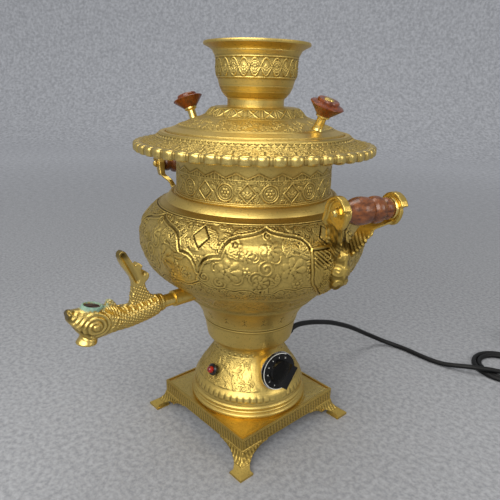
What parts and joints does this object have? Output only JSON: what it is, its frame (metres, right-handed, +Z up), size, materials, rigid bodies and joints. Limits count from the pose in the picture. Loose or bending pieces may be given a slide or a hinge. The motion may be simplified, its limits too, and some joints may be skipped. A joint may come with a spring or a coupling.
{
  "type": "samovar",
  "caption": "Electric brass samovar with a bulbous tank on a square footed stand, fish-shaped tap, side handles, thermostat knob, lift-off lid and teapot crown.",
  "frame": {"origin": "on the samovar's vertical axis, at table level under the feet", "axes": "+Z up, -Y towards the tap's spout, +X towards the thermostat knob; the mains lead leaves at +Y"},
  "size_m": [0.4345, 0.7722, 0.47],
  "materials": {
    "brass_cast": "cast, chased and lacquered",
    "brass_bell": "spun and stippled, satin",
    "brass_tank": "spun and engraved, satin",
    "brass_brim": "rolled beads, polished",
    "brass_lid": "spun and engraved, darkened grooves",
    "brass_crown": "spun and engraved",
    "brass_fish": "cast and chased, darkened recesses",
    "brass_bright": "turned and polished",
    "brass_fastener": "turned",
    "wood_grip": "turned, varnished red-brown",
    "wood_knob": "turned, varnished red-brown",
    "plug_brown": "dark brown",
    "copper": "copper sheath with dull oxide",
    "steel_bezel": "polished",
    "steel": "zinc plated",
    "knob_black": "moulded, glossy, white scale",
    "bezel_black": "moulded",
    "lens_red": "clear red",
    "insulator": "moulded",
    "seal_rubber": "moulded",
    "cord_black": "satin sheath",
    "gland_black": "moulded",
    "plug_black": "moulded",
    "pin_metal": "nickel plated"
  },
  "bodies": {
    "samovar": {"square_stand": "brass_cast", "handle_bracket_right": "brass_cast", "handle_bracket_left": "brass_cast", "pedestal_bell": "brass_bell", "tank_cup": "brass_tank", "tank_belly": "brass_tank", "tank_shoulder": "brass_tank", "tank_neck": "brass_tank", "brim_ring": "brass_brim", "tap_body": "brass_fish", "handle_rods": "brass_bright", "handle_ferrules": "brass_bright", "handle_nuts": "brass_bright", "tap_pipe": "brass_bright", "bell_bolts": "brass_fastener", "bracket_bolts": "brass_fastener", "bracket_nuts": "brass_fastener", "tap_shank_nut": "brass_fastener", "element_nut": "brass_fastener", "handle_grip_right": "wood_grip", "handle_grip_left": "wood_grip", "heating_element": "copper", "thermostat_probe": "copper", "knob_bezel": "steel_bezel", "base_cover": "steel", "base_cover_screws": "steel", "element_terminals": "steel", "thermostat_nut": "steel", "pilot_nut": "steel", "pilot_bezel": "bezel_black", "pilot_lens": "lens_red", "thermostat_body": "insulator", "terminal_block": "insulator", "element_gasket": "seal_rubber", "wiring": "cord_black", "cord": "cord_black", "cord_coil": "cord_black", "cord_gland": "gland_black", "plug_relief": "gland_black", "plug_body": "plug_black", "plug_pins": "pin_metal"},
    "tap_plug": {"tap_plug": "plug_brown"},
    "thermostat_knob": {"thermostat_shaft": "steel", "thermostat_knob": "knob_black"},
    "lid": {"lid": "brass_lid", "lid_collar": "brass_lid", "lid_knob_posts": "brass_bright", "lid_post_nuts": "brass_fastener", "lid_knobs": "wood_knob", "lid_knob_caps": "brass_bright"},
    "crown": {"crown": "brass_crown"}
  },
  "joints": [
    {"name": "tap_plug_turn", "type": "hinge", "parent": "samovar", "child": "tap_plug", "pos_m": [0, -0.2135, 0.199], "axis": [0, 0.1736, 0.9848], "range_deg": [0, 90]},
    {"name": "thermostat_turn", "type": "hinge", "parent": "samovar", "child": "thermostat_knob", "pos_m": [0, 0, 0.0875], "axis": [0.9752, -0.172, 0.1392], "range_deg": [0, 270]},
    {"name": "lid_lift", "type": "slide", "parent": "samovar", "child": "lid", "axis": [0, 0, 1], "range_m": [0, 0.15]},
    {"name": "crown_lift", "type": "slide", "parent": "lid", "child": "crown", "axis": [0, 0, 1], "range_m": [0, 0.12]}
  ]
}
